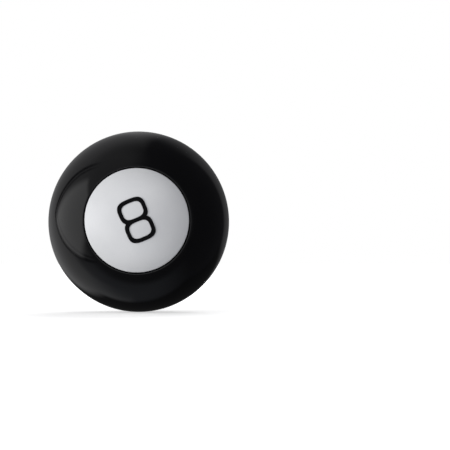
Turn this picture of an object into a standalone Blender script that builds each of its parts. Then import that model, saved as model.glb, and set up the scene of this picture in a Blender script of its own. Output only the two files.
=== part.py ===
"""A small hand-held fortune ball: two black shell halves, a numbered disc, and a liquid tank with a floating die.

The pieces are modelled along a common axis, local +Z towards the number and local -Z towards the window, and
one empty turns that axis so that the number faces -Y and the numeral's upright is +Z. The ball's centre is
the origin. Every piece that is round about the axis is a profile with a Screw modifier.
"""

import math

import bmesh
import bpy
from mathutils import Vector

MM = 0.001

# Driving dimensions
BALL_RADIUS = 19.05 * MM
SHELL_WALL = 1.8 * MM
PART_GAP = 0.3 * MM
SEGMENTS = 48
ARC_STEP = math.radians(6.5)

# Number disc and its seat in the front shell
DISC_RADIUS = 10.6 * MM
DISC_THICKNESS = 0.55 * MM
DISC_SET_BACK = 0.18 * MM
NUMERAL_HEIGHT = 9.0 * MM
NUMERAL_WIDTH = 5.9 * MM
NUMERAL_STROKE = 0.82 * MM
NUMERAL_LEAN = math.radians(23)
NUMERAL_THICKNESS = 0.12 * MM
NUMERAL_SQUARENESS = 3.0
NUMERAL_POINTS = 36

# Joint between the shell halves
TONGUE_LENGTH = 1.2 * MM
TONGUE_THICKNESS = 0.75 * MM

# Window end, as distances from the ball's centre along the axis
FLAT_DISTANCE = 16.9 * MM
LIP_THICKNESS = 0.6 * MM
WINDOW_OPENING = 6.5 * MM
WINDOW_RADIUS = 7.4 * MM
WINDOW_THICKNESS = 1.2 * MM
SEAL_THICKNESS = 0.6 * MM

# Tank
TANK_RADIUS = 10.2 * MM
TANK_WALL = 0.9 * MM
NECK_RADIUS = 7.4 * MM
NECK_LENGTH = 1.3 * MM
TANK_RIM = 6.5 * MM
CAP_FLANGE = 1.0 * MM
CAP_SPIGOT = 1.8 * MM
FILL_HOLE = 1.5 * MM
PLUG_HEAD_RADIUS = 2.6 * MM
PLUG_HEAD_HEIGHT = 0.9 * MM
RIB_THICKNESS = 1.0 * MM
RIB_RADIUS = 9.4 * MM
TRAP_HEIGHT = 3.5 * MM
TRAP_MOUTH = 6.3 * MM
TRAP_WALL = 0.6 * MM

# Die, a hollow icosahedron
DIE_RADIUS = 5.8 * MM
DIE_WALL = 0.75 * MM
DIE_HALF_GAP = 0.3 * MM
DIE_HOLE_RADIUS = 0.5 * MM
ICOSAHEDRON_INRADIUS = 0.794654

# Worked out from the above
SHELL_INSIDE = BALL_RADIUS - SHELL_WALL
DISC_TOP = BALL_RADIUS - DISC_SET_BACK
DISC_BOTTOM = DISC_TOP - DISC_THICKNESS
SEAT_FLOOR = DISC_BOTTOM - PART_GAP
SEAT_RADIUS = DISC_RADIUS + PART_GAP
TONGUE_RADIUS = SHELL_INSIDE + TONGUE_THICKNESS
REBATE_RADIUS = TONGUE_RADIUS + PART_GAP
LIP_BACK = FLAT_DISTANCE - LIP_THICKNESS
WINDOW_FRONT = LIP_BACK - PART_GAP
WINDOW_BACK = WINDOW_FRONT - WINDOW_THICKNESS
SEAL_FRONT = WINDOW_BACK - PART_GAP
SEAL_BACK = SEAL_FRONT - SEAL_THICKNESS
NECK_FRONT = SEAL_BACK - PART_GAP
NECK_INSIDE = NECK_RADIUS - TANK_WALL
SHOULDER = NECK_FRONT - NECK_LENGTH
TANK_INSIDE = TANK_RADIUS - TANK_WALL
CAP_UNDER = TANK_RIM + PART_GAP
CAP_TOP = CAP_UNDER + CAP_FLANGE
CAP_INSIDE = CAP_UNDER - CAP_SPIGOT
TRAP_FRONT = SHOULDER - TANK_WALL - PART_GAP
TRAP_BACK = TRAP_FRONT - TRAP_HEIGHT
DIE_CENTRE = WINDOW_BACK - PART_GAP - DIE_RADIUS
DIE_INSIDE = DIE_RADIUS * ICOSAHEDRON_INRADIUS - DIE_WALL
DIE_LIQUID_RADIUS = DIE_INSIDE - PART_GAP


def clear_scene():
    """Take away whatever the scene holds."""
    for obj in list(bpy.data.objects):
        bpy.data.objects.remove(obj, do_unlink=True)


def collection(name):
    """A collection of that name, linked to the scene."""
    group = bpy.data.collections.new(name)
    bpy.context.scene.collection.children.link(group)
    return group


def finish(name, colour, roughness, transmission=0.0):
    """A Principled material."""
    material = bpy.data.materials.new(name)
    material.use_nodes = True
    shader = material.node_tree.nodes["Principled BSDF"]
    shader.inputs["Base Color"].default_value = (*colour, 1.0)
    shader.inputs["Roughness"].default_value = roughness
    shader.inputs["Metallic"].default_value = 0.0
    shader.inputs["Transmission Weight"].default_value = transmission
    return material


def height_on(sphere, radius):
    """How far up the axis a sphere's surface is at this distance from the axis."""
    return math.sqrt(sphere**2 - radius**2)


def arc(sphere, start, end):
    """Points (radius, height) along a sphere's outline between two heights, both included."""
    first, last = math.acos(start / sphere), math.acos(end / sphere)
    count = max(2, round(abs(last - first) / ARC_STEP))
    angles = [first + (last - first) * i / count for i in range(count + 1)]
    return [(sphere * math.sin(a), sphere * math.cos(a)) for a in angles]


def placed(name, mesh, group, parent, material, at=(0.0, 0.0, 0.0)):
    """An object for a mesh, in its collection, under its parent, with its material."""
    obj = bpy.data.objects.new(name, mesh)
    group.objects.link(obj)
    obj.parent = parent
    obj.location = at
    mesh.materials.append(material)
    return obj


def turned(name, profile, closed, segments, group, parent, material, at=(0.0, 0.0, 0.0)):
    """A piece turned about local Z from its profile, which runs down the piece's outer side."""
    mesh = bpy.data.meshes.new(name)
    points = [(radius, 0.0, height) for radius, height in profile]
    edges = [(i, i + 1) for i in range(len(points) - 1)]
    if closed:
        edges.append((len(points) - 1, 0))
    mesh.from_pydata(points, edges, [])
    obj = placed(name, mesh, group, parent, material, at)
    screw = obj.modifiers.new("Turn", "SCREW")
    screw.axis = "Z"
    screw.steps = segments
    screw.render_steps = segments
    screw.use_merge_vertices = True
    screw.merge_threshold = 0.00001
    screw.use_smooth_shade = True
    return obj


def front_shell(group, axis, material):
    """The half with the disc's seat, the locating tongue, and the ring rib that bears on the tank's cap."""
    rib_inner = RIB_RADIUS - RIB_THICKNESS
    rib_tip = CAP_TOP + PART_GAP
    profile = (
        arc(SEAT_FLOOR, SEAT_FLOOR, height_on(SEAT_FLOOR, SEAT_RADIUS))
        + arc(BALL_RADIUS, height_on(BALL_RADIUS, SEAT_RADIUS), PART_GAP / 2)
        + [(TONGUE_RADIUS, PART_GAP / 2), (TONGUE_RADIUS, -TONGUE_LENGTH), (SHELL_INSIDE, -TONGUE_LENGTH)]
        + arc(SHELL_INSIDE, 0.0, height_on(SHELL_INSIDE, RIB_RADIUS))
        + [(RIB_RADIUS, rib_tip), (rib_inner, rib_tip)]
        + arc(SHELL_INSIDE, height_on(SHELL_INSIDE, rib_inner), SHELL_INSIDE)
    )
    return turned("front_shell", profile, False, SEGMENTS, group, axis, material)


def rear_shell(group, axis, material):
    """The half with the window's flat rim, a collar for the tank's neck, and the rebate for the tongue."""
    bore = WINDOW_RADIUS + PART_GAP
    collar = bore + RIB_THICKNESS
    collar_tip = SHOULDER + PART_GAP
    rebate = TONGUE_LENGTH + PART_GAP
    profile = (
        arc(BALL_RADIUS, -PART_GAP / 2, -FLAT_DISTANCE)
        + [(WINDOW_OPENING, -FLAT_DISTANCE), (WINDOW_OPENING, -LIP_BACK), (bore, -LIP_BACK)]
        + [(bore, -collar_tip), (collar, -collar_tip)]
        + arc(SHELL_INSIDE, -height_on(SHELL_INSIDE, collar), -rebate)
        + [(REBATE_RADIUS, -rebate), (REBATE_RADIUS, -PART_GAP / 2)]
    )
    return turned("rear_shell", profile, True, SEGMENTS, group, axis, material)


def number_disc(group, axis, material):
    """The domed disc that carries the number."""
    profile = (
        arc(DISC_TOP, DISC_TOP, height_on(DISC_TOP, DISC_RADIUS))
        + arc(DISC_BOTTOM, height_on(DISC_BOTTOM, DISC_RADIUS), DISC_BOTTOM)
    )
    return turned("number_disc", profile, False, SEGMENTS, group, axis, material)


def squared_round(angle, half_width, half_height):
    """A point of a superellipse, a round that is drawn towards a square, at this parameter."""
    power = 2 / NUMERAL_SQUARENESS
    across, up = math.cos(angle), math.sin(angle)
    return (
        half_width * math.copysign(abs(across) ** power, across),
        half_height * math.copysign(abs(up) ** power, up),
    )


def numeral_outlines():
    """The figure's outer outline, and its two eyes, as lists of flat points about its waist."""
    half_height = (NUMERAL_HEIGHT + NUMERAL_STROKE) / 4
    centre = (NUMERAL_HEIGHT - NUMERAL_STROKE) / 4
    half_width = NUMERAL_WIDTH / 2
    waist = -math.asin((centre / half_height) ** (NUMERAL_SQUARENESS / 2))
    upper = []
    for i in range(NUMERAL_POINTS):
        x, y = squared_round(waist + (math.pi - 2 * waist) * i / NUMERAL_POINTS, half_width, half_height)
        upper.append((x, y + centre))
    outlines = [upper + [(-x, -y) for x, y in upper]]
    for side in (1, -1):
        turns = [2 * math.pi * i / NUMERAL_POINTS for i in range(NUMERAL_POINTS)]
        eye = [squared_round(a, half_width - NUMERAL_STROKE, half_height - NUMERAL_STROKE) for a in turns]
        outlines.append([(x, y + side * centre) for x, y in eye])
    return outlines


def numeral_layer(cutters, axis, material):
    """A hidden cap with the ink's thickness that lies just off the disc, wide enough for the numeral."""
    bottom = BALL_RADIUS - NUMERAL_THICKNESS
    profile = (
        arc(BALL_RADIUS, BALL_RADIUS, height_on(BALL_RADIUS, NUMERAL_HEIGHT))
        + arc(bottom, height_on(bottom, NUMERAL_HEIGHT), bottom)
    )
    layer = turned("numeral_layer", profile, False, SEGMENTS, cutters, axis, material)
    layer.hide_render = True
    layer.display_type = "WIRE"
    return layer


def numeral(group, cutters, axis, material):
    """A figure 8 of two equal loops that share a bar: a leaning prism cut down to the ink's layer."""
    curve = bpy.data.curves.new("numeral_outline", "CURVE")
    curve.dimensions = "2D"
    curve.fill_mode = "BOTH"
    curve.extrude = NUMERAL_WIDTH / 4
    for outline in numeral_outlines():
        spline = curve.splines.new("POLY")
        spline.points.add(len(outline) - 1)
        for point, (x, y) in zip(spline.points, outline):
            point.co = (x, y, 0.0, 1.0)
        spline.use_cyclic_u = True
    drawn = bpy.data.objects.new("numeral_outline", curve)
    group.objects.link(drawn)
    evaluated = drawn.evaluated_get(bpy.context.evaluated_depsgraph_get())
    mesh = bpy.data.meshes.new_from_object(evaluated)
    bpy.data.objects.remove(drawn, do_unlink=True)
    shape = bmesh.new()
    shape.from_mesh(mesh)
    bmesh.ops.remove_doubles(shape, verts=shape.verts, dist=0.000001)
    bmesh.ops.recalc_face_normals(shape, faces=shape.faces)
    shape.to_mesh(mesh)
    shape.free()
    mesh.name = "numeral"
    obj = placed("numeral", mesh, group, axis, material, (0.0, 0.0, BALL_RADIUS))
    obj.rotation_euler = (0.0, 0.0, NUMERAL_LEAN)
    cut = obj.modifiers.new("Layer", "BOOLEAN")
    cut.operation = "INTERSECT"
    cut.solver = "EXACT"
    cut.object = numeral_layer(cutters, axis, material)
    return obj


def window(group, axis, material):
    """The clear pane behind the rear shell's lip."""
    profile = [(0.0, -WINDOW_BACK), (WINDOW_RADIUS, -WINDOW_BACK), (WINDOW_RADIUS, -WINDOW_FRONT), (0.0, -WINDOW_FRONT)]
    return turned("window", profile, False, SEGMENTS, group, axis, material)


def window_seal(group, axis, material):
    """The soft ring between the pane and the tank's neck."""
    inner, outer = NECK_INSIDE + TANK_WALL / 8, NECK_RADIUS - TANK_WALL / 8
    profile = [(outer, -SEAL_BACK), (outer, -SEAL_FRONT), (inner, -SEAL_FRONT), (inner, -SEAL_BACK)]
    return turned("window_seal", profile, True, SEGMENTS, group, axis, material)


def tank_body(group, axis, material):
    """The stepped tank, open at its neck and at its rim."""
    slope = TANK_WALL * 2 / 3
    profile = [
        (TANK_RADIUS, TANK_RIM),
        (TANK_RADIUS, -SHOULDER + slope),
        (TANK_RADIUS - slope, -SHOULDER),
        (NECK_RADIUS, -SHOULDER),
        (NECK_RADIUS, -NECK_FRONT),
        (NECK_INSIDE, -NECK_FRONT),
        (NECK_INSIDE, -SHOULDER + TANK_WALL),
        (TANK_INSIDE, -SHOULDER + TANK_WALL),
        (TANK_INSIDE, TANK_RIM),
    ]
    return turned("tank_body", profile, True, SEGMENTS, group, axis, material)


def tank_cap(group, axis, material):
    """The lid: a flange on the tank's rim, a spigot inside it, and a filling hole."""
    spigot = TANK_INSIDE - PART_GAP
    profile = [
        (TANK_RADIUS, CAP_TOP),
        (TANK_RADIUS, CAP_UNDER),
        (spigot, CAP_UNDER),
        (spigot, CAP_INSIDE),
        (FILL_HOLE, CAP_INSIDE),
        (FILL_HOLE, CAP_TOP),
    ]
    return turned("tank_cap", profile, True, SEGMENTS, group, axis, material)


def fill_plug(group, axis, material):
    """The stopper in the filling hole, with a chamfered head and a tapered stem."""
    under, stem = CAP_TOP + PART_GAP, FILL_HOLE - PART_GAP
    chamfer = PART_GAP
    top = under + PLUG_HEAD_HEIGHT
    profile = [
        (0.0, top),
        (PLUG_HEAD_RADIUS - chamfer, top),
        (PLUG_HEAD_RADIUS, top - chamfer),
        (PLUG_HEAD_RADIUS, under),
        (stem, under),
        (stem, CAP_INSIDE + chamfer),
        (stem - chamfer, CAP_INSIDE),
        (0.0, CAP_INSIDE),
    ]
    return turned("fill_plug", profile, False, SEGMENTS // 2, group, axis, material)


def bubble_trap(group, axis, material):
    """A tapered collar with a foot on the tank's shoulder, so that bubbles stay in the ring outside it."""
    foot_radius, foot = TANK_INSIDE - PART_GAP, TRAP_WALL
    profile = [
        (TRAP_MOUTH + TRAP_WALL, -TRAP_BACK),
        (NECK_RADIUS, -TRAP_FRONT + foot),
        (foot_radius, -TRAP_FRONT + foot),
        (foot_radius, -TRAP_FRONT),
        (NECK_INSIDE, -TRAP_FRONT),
        (TRAP_MOUTH, -TRAP_BACK),
    ]
    return turned("bubble_trap", profile, True, SEGMENTS, group, axis, material)


def tank_liquid(group, axis, material):
    """The liquid round the die's path, from the collar's mouth to the cap."""
    outer = TANK_INSIDE - PART_GAP
    top, bottom = CAP_INSIDE - PART_GAP, -TRAP_BACK + PART_GAP
    profile = [(outer, top), (outer, bottom), (TRAP_MOUTH, bottom), (TRAP_MOUTH, top)]
    return turned("tank_liquid", profile, True, SEGMENTS, group, axis, material)


def icosahedron():
    """A 20-sided solid about the origin with one face turned flat towards local -Z."""
    shape = bmesh.new()
    bmesh.ops.create_icosphere(shape, subdivisions=1, radius=DIE_RADIUS)
    shape.normal_update()
    lowest = min(shape.faces, key=lambda face: (round(face.normal.z, 4), round(face.normal.x, 4)))
    turn = lowest.normal.rotation_difference(Vector((0.0, 0.0, -1.0)))
    bmesh.ops.rotate(shape, verts=shape.verts, matrix=turn.to_matrix())
    return shape


def round_cutter(name, radius, depth, cutters, parent):
    """A hidden cutter about its parent's origin: a sphere, or a rod along local Z if it has a depth."""
    shape = bmesh.new()
    if depth:
        bmesh.ops.create_cone(
            shape, cap_ends=True, segments=12, radius1=radius, radius2=radius, depth=depth
        )
    else:
        bmesh.ops.create_uvsphere(shape, u_segments=20, v_segments=12, radius=radius)
    mesh = bpy.data.meshes.new(name)
    shape.to_mesh(mesh)
    shape.free()
    obj = bpy.data.objects.new(name, mesh)
    cutters.objects.link(obj)
    obj.parent = parent
    obj.hide_render = True
    obj.display_type = "WIRE"
    return obj


def die_half(name, side, tools, group, pivot, material):
    """One half of the die: a cut icosahedron, hollowed by a sphere, with a filling hole in its outer face."""
    shape = icosahedron()
    whole = shape.verts[:] + shape.edges[:] + shape.faces[:]
    cut = bmesh.ops.bisect_plane(
        shape,
        geom=whole,
        plane_co=(0.0, 0.0, side * DIE_HALF_GAP / 2),
        plane_no=(0.0, 0.0, side),
        clear_inner=True,
    )
    rim = [part for part in cut["geom_cut"] if isinstance(part, bmesh.types.BMEdge)]
    bmesh.ops.contextual_create(shape, geom=rim)
    bmesh.ops.recalc_face_normals(shape, faces=shape.faces)
    mesh = bpy.data.meshes.new(name)
    shape.to_mesh(mesh)
    shape.free()
    obj = placed(name, mesh, group, pivot, material)
    for tool in tools:
        cut = obj.modifiers.new(tool.name, "BOOLEAN")
        cut.operation = "DIFFERENCE"
        cut.solver = "EXACT"
        cut.object = tool
    return obj


def die_liquid(group, pivot, material):
    """The ball of liquid inside the hollow die."""
    shape = bmesh.new()
    bmesh.ops.create_uvsphere(shape, u_segments=20, v_segments=12, radius=DIE_LIQUID_RADIUS)
    mesh = bpy.data.meshes.new("die_liquid")
    shape.to_mesh(mesh)
    shape.free()
    mesh.shade_smooth()
    return placed("die_liquid", mesh, group, pivot, material)


def main():
    clear_scene()
    group = collection("fortune_ball")
    cutters = collection("cutters")

    axis = bpy.data.objects.new("ball_axis", None)
    axis.rotation_euler = (math.pi / 2, 0.0, 0.0)
    group.objects.link(axis)
    pivot = bpy.data.objects.new("die_pivot", None)
    pivot.parent = axis
    pivot.location = (0.0, 0.0, -DIE_CENTRE)
    group.objects.link(pivot)

    black = finish("black_gloss_plastic", (0.012, 0.012, 0.014), 0.08)
    silver = finish("silver_white_plastic", (0.70, 0.71, 0.74), 0.35)
    ink = finish("black_ink", (0.006, 0.006, 0.007), 0.35)
    clear = finish("clear_plastic", (0.92, 0.95, 0.97), 0.03, transmission=0.9)
    rubber = finish("soft_rubber", (0.03, 0.03, 0.032), 0.7)
    tank = finish("tank_plastic", (0.05, 0.07, 0.16), 0.35)
    grey = finish("grey_plastic", (0.20, 0.21, 0.24), 0.5)
    liquid = finish("blue_liquid", (0.01, 0.02, 0.12), 0.05, transmission=0.8)
    white = finish("white_plastic", (0.80, 0.80, 0.78), 0.4)

    front_shell(group, axis, black)
    rear_shell(group, axis, black)
    number_disc(group, axis, silver)
    numeral(group, cutters, axis, ink)
    window(group, axis, clear)
    window_seal(group, axis, rubber)
    tank_body(group, axis, tank)
    tank_cap(group, axis, tank)
    fill_plug(group, axis, rubber)
    bubble_trap(group, axis, grey)
    tank_liquid(group, axis, liquid)
    tools = (
        round_cutter("die_hollow", DIE_INSIDE, 0.0, cutters, pivot),
        round_cutter("die_filling_holes", DIE_HOLE_RADIUS, 3 * DIE_RADIUS, cutters, pivot),
    )
    die_half("die_front_half", 1, tools, group, pivot, white)
    die_half("die_rear_half", -1, tools, group, pivot, white)
    die_liquid(group, pivot, liquid)


main()
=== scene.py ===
"""The looks of a miniature fortune ball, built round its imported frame.

The ball is a black glossy sphere in two moulded halves. A silvery disc with a figure 8 faces -Y, and a
clear window faces +Y. Behind the window a white twenty-sided die floats in a tank of dark blue liquid.
Nearly every piece is round about the ball's axis, so each is an outline of (radius, height) pairs turned
about that axis, where height runs from the ball's centre towards the number. The frame gives the sizes
that each outline starts from.
"""

import logging
import math
from dataclasses import dataclass, field
from enum import Enum
from typing import Callable, Dict, List, Optional, Sequence, Tuple

import bpy
import numpy as np
from mathutils import Matrix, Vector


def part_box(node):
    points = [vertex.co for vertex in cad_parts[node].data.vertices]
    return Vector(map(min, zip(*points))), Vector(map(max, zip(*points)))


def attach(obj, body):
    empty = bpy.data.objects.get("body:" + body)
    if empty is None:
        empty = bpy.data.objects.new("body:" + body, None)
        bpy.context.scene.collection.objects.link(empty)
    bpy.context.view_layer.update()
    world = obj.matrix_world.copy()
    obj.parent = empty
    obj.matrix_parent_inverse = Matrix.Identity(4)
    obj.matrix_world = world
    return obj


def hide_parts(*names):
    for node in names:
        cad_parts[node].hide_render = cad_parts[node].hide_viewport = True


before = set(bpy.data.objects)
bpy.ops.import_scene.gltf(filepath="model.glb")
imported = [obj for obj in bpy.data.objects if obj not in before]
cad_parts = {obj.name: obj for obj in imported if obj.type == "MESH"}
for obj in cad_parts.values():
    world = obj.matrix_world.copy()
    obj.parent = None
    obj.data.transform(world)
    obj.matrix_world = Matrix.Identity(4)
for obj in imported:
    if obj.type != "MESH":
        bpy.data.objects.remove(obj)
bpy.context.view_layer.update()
LOG = logging.getLogger("fortune_ball")

MM = 0.001
MICRON = 0.000001
FULL_TURN = 2 * math.pi
UP = (0.0, 0.0, 1.0)
WHITE = (1.0, 1.0, 1.0)
RAISED = "raised"  # the attribute that tells a raised mark from the face round it
ROUND_SHARE = 0.38  # how much of the way to the next corner a corner's round may take up
SIDE_POINT = 1.3  # how far from a corner the extra point beside its round is, in lengths of the round
CLEARED = 1.35  # how far round a corner an outline's old points are dropped, in the same lengths

Array = np.ndarray
Colour = Tuple[float, float, float]
Pair = Tuple[float, float]
Socket = bpy.types.NodeSocket


# --- Surfaces worked out as whole arrays ------------------------------------------------------------------


@dataclass
class Surface:
    """A closed surface held as arrays, before it becomes a mesh.

    Args:
        points: one row (x, y, z) for each vertex, in metres.
        faces: arrays of vertex numbers, three or four columns each.
        raised: how much of each point belongs to a raised mark, where the piece has marks.
    """

    points: Array
    faces: List[Array]
    raised: Optional[Array] = None

    def volume(self) -> float:
        """The signed volume: a sixth of each triangle's box product with the origin, summed."""
        total = 0.0
        for rows in self.faces:
            for second in range(1, rows.shape[1] - 1):
                a, b, c = (self.points[rows[:, k]] for k in (0, second, second + 1))
                total += float(np.einsum("ij,ij->", a, np.cross(b, c))) / 6
        return total

    def outward(self) -> "Surface":
        """The same surface with its faces pointing out."""
        if self.volume() >= 0:
            return self
        return Surface(self.points, [rows[:, ::-1] for rows in self.faces], self.raised)

    def welded(self, within: float = 1e-7) -> "Surface":
        """The surface with points that coincide made one, and faces that lost an edge dropped.

        Args:
            within: points that round to the same multiple of this are one.

        Returns:
            A surface that shares vertices along its seams.
        """
        rounded = np.round(self.points / within).astype(np.int64)
        _, first, number = np.unique(rounded, axis=0, return_index=True, return_inverse=True)
        number = number.reshape(-1)
        kept = []
        for rows in self.faces:
            rows = number[rows]
            ordered = np.sort(rows, axis=1)
            whole = (ordered[:, 1:] != ordered[:, :-1]).all(axis=1)
            kept.append(rows[whole])
            if rows.shape[1] == 4:
                kept.append(three_cornered(rows[~whole]))
        return Surface(self.points[first], [rows for rows in kept if len(rows)])

    def as_object(self, name: str) -> bpy.types.Object:
        """A smooth-shaded object at the origin that holds this surface in its mesh."""
        surface = self.outward()
        mesh = bpy.data.meshes.new(name)
        faces = [row for rows in surface.faces for row in rows.tolist()]
        mesh.from_pydata(surface.points.tolist(), [], faces)
        mesh.polygons.foreach_set("use_smooth", np.ones(len(mesh.polygons), dtype=bool))
        if surface.raised is not None:
            mesh.attributes.new(RAISED, "FLOAT", "POINT").data.foreach_set("value", surface.raised)
        mesh.update()
        obj = bpy.data.objects.new(name, mesh)
        bpy.context.scene.collection.objects.link(obj)
        return obj


def three_cornered(rows: Array) -> Array:
    """Four-cornered faces with one doubled corner, as triangles. Faces that lost more are left out."""
    if not len(rows):
        return np.empty((0, 3), dtype=np.int64)
    doubled = rows == np.roll(rows, 1, axis=1)
    once = doubled.sum(axis=1) == 1
    return rows[once][~doubled[once]].reshape(-1, 3)


def grid_faces(across: int, along: int, wrap_across: bool, wrap_along: bool) -> Array:
    """Four-cornered faces over a grid of points numbered row by row.

    Args:
        across: number of rows.
        along: number of points in a row.
        wrap_across: whether the last row joins the first.
        wrap_along: whether a row's last point joins its first.

    Returns:
        An array of faces, one row each.
    """
    i, j = np.meshgrid(
        np.arange(across if wrap_across else across - 1),
        np.arange(along if wrap_along else along - 1),
        indexing="ij",
    )
    i, j = i.ravel(), j.ravel()
    i_next, j_next = (i + 1) % across, (j + 1) % along
    corners = (i * along + j, i * along + j_next, i_next * along + j_next, i_next * along + j)
    return np.stack(corners, axis=1)


def full_turn(steps: int) -> Array:
    """The angles of this many even steps round a full turn."""
    return np.arange(steps) * FULL_TURN / steps


def unit(vector: Array) -> Array:
    """The vector made one long."""
    return vector / np.linalg.norm(vector)


def height_on(sphere: float, radius: float) -> float:
    """Height of a sphere's surface at this distance from the axis: the other leg of a right triangle."""
    return math.sqrt(sphere * sphere - radius * radius)


def arc(sphere: float, start: float, end: float, step: float = 1.0) -> Array:
    """An outline that follows a sphere about the origin from one height to another.

    A point at angle a from the axis is at radius = sphere * sin(a) and height = sphere * cos(a).

    Args:
        sphere: radius of the sphere.
        start: height of the first point.
        end: height of the last point.
        step: angle between points, in degrees.

    Returns:
        Rows of (radius, height).
    """
    first, last = (math.acos(max(-1.0, min(1.0, height / sphere))) for height in (start, end))
    count = max(2, round(abs(last - first) / math.radians(step)) + 1)
    angle = np.linspace(first, last, count)
    return np.stack([sphere * np.sin(angle), sphere * np.cos(angle)], axis=1)


@dataclass
class Outline:
    """The outline of a turned piece, drawn down its outer side and up its inner side.

    Args:
        points: rows of (radius, height), in metres.
        closed: True for a ring, False for a piece whose outline starts and ends on the axis.
    """

    points: Array
    closed: bool

    @staticmethod
    def of(*parts: Sequence, closed: bool) -> "Outline":
        """An outline from stretches and single points, in order."""
        rows = [np.atleast_2d(np.asarray(part, dtype=float)) for part in parts]
        return Outline(np.concatenate(rows), closed)

    def softened(self, radius: float, steps: int = 5, sharper_than: float = 20.0) -> "Outline":
        """The outline with each corner swapped for a small round.

        A round leaves the outline at an equal distance before and after its corner, and follows the
        parabola with the corner as its control point: (1-t)^2 before + 2t(1-t) corner + t^2 after. One
        more point on each side keeps the shading of the flats beside it even.

        Args:
            radius: the distance from a corner at which its round begins, where there is room.
            steps: points in each round, less one.
            sharper_than: a corner turns by more than this many degrees.

        Returns:
            A new outline.
        """
        points = self.points
        joined = np.vstack([points, points[:1]]) if self.closed else points
        edges = np.diff(joined, axis=0)
        lengths = np.hypot(edges[:, 0], edges[:, 1])
        place = np.concatenate([[0.0], np.cumsum(lengths)])
        heading = np.arctan2(edges[:, 1], edges[:, 0])
        before = np.roll(heading, 1) if self.closed else np.concatenate([heading[:1], heading[:-1]])
        turned = np.abs((heading - before + math.pi) % FULL_TURN - math.pi)
        corners = np.flatnonzero(turned > math.radians(sharper_than))
        if not len(corners):
            return self
        total = place[-1]
        at = place[corners]
        if self.closed:
            room = np.diff(np.concatenate([at, [at[0] + total]]))
            room = np.minimum(room, np.roll(room, 1))
        else:
            room = np.diff(np.concatenate([[-total], at, [2 * total]]))
            room = np.minimum(room[1:], room[:-1])
        spans = np.minimum(radius, ROUND_SHARE * room)

        def along(distance: Array) -> Array:
            """Points of the outline at these distances from its start."""
            if self.closed:
                distance = np.mod(distance, total)
            return np.stack([np.interp(distance, place, joined[:, k]) for k in (0, 1)], axis=1)

        t = np.linspace(0, 1, steps + 1)[:, None]
        pieces, distances = [], []
        for corner, where, span in zip(points[corners], at, spans):
            first, last = along(np.array([where - span, where + span]))
            rounded = (1 - t) ** 2 * first + 2 * t * (1 - t) * corner + t**2 * last
            start, end = where - SIDE_POINT * span, where + SIDE_POINT * span
            sides = along(np.array([start, end]))
            pieces.append(np.vstack([sides[:1], rounded, sides[1:]]))
            distances.append(np.linspace(start, end, steps + 3))
        away = np.abs(place[: len(points), None] - at[None, :])
        if self.closed:
            away = np.minimum(away, total - away)
        kept = (away > CLEARED * spans[None, :]).all(axis=1)
        everything = np.vstack([points[kept], *pieces])
        order = np.concatenate([place[: len(points)][kept], *distances])
        return Outline(everything[np.argsort(order, kind="stable")], self.closed)

    def turned(
        self, segments: int, shape: Optional[Callable[[Array, Array, Array], Array]] = None
    ) -> Surface:
        """The surface that the outline sweeps about the ball's axis.

        The point at turn a of an outline point (radius, height) is (radius cos a, -height, radius sin a).

        Args:
            segments: number of steps in the full turn.
            shape: gives a new radius for each (turn, radius, height), for flutes and other uneven rounds.

        Returns:
            A closed surface.
        """
        radius, height = self.points.T
        grid_turn, grid_radius = np.meshgrid(full_turn(segments), radius, indexing="ij")
        grid_height = np.broadcast_to(height, grid_radius.shape)
        if shape is not None:
            grid_radius = shape(grid_turn, grid_radius, grid_height)
        points = np.stack(
            [grid_radius * np.cos(grid_turn), -grid_height, grid_radius * np.sin(grid_turn)], axis=-1
        ).reshape(-1, 3)
        surface = Surface(points, [grid_faces(segments, len(radius), True, self.closed)])
        return surface if self.closed else surface.welded(1e-9)


# --- Finishes ---------------------------------------------------------------------------------------------


class Wiring:
    """Short calls for the nodes that the finishes and the room share.

    Args:
        tree: the node tree of a material or of a world.
    """

    def __init__(self, tree: bpy.types.NodeTree) -> None:
        """Keeps the tree's nodes and links at hand."""
        self.nodes, self.links = tree.nodes, tree.links

    def feed(self, target: Socket, value: object) -> None:
        """Links a socket to its source, or sets its own value. A colour of three parts is made opaque."""
        if isinstance(value, Socket):
            self.links.new(value, target)
        elif target.type == "RGBA" and len(value) == 3:
            target.default_value = (*value, 1.0)
        else:
            target.default_value = value

    def make(self, kind: str, out: str, inputs: Dict, **settings: object) -> Socket:
        """One output of a new node.

        Args:
            kind: the node's kind.
            out: the output's name.
            inputs: a source or a value for each input that isn't left as it is, by its name or number.
            settings: the node's own settings.

        Returns:
            The output's socket.
        """
        node = self.nodes.new("ShaderNode" + kind)
        for name, value in settings.items():
            setattr(node, name, value)
        for key, value in inputs.items():
            self.feed(node.inputs[key], value)
        return node.outputs[out]

    def maths(self, operation: str, *values: object) -> Socket:
        """One sum on sockets or numbers."""
        return self.make("Math", "Value", dict(enumerate(values)), operation=operation)

    def ramp(self, source: Socket, low: float, high: float, out: Pair, steps: str = "LINEAR") -> Socket:
        """The source read from low to high and written as a value between the two of out."""
        ends = {"From Min": low, "From Max": high, "To Min": out[0], "To Max": out[1]}
        return self.make("MapRange", "Result", {"Value": source, **ends}, interpolation_type=steps)

    def choose(self, ray: str, chosen: Socket, others: Socket, target: Socket) -> None:
        """Feeds one shader to a kind of ray, and another to all others."""
        share = self.make("LightPath", ray, {})
        self.feed(target, self.make("MixShader", "Shader", {0: share, 1: others, 2: chosen}))


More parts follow.
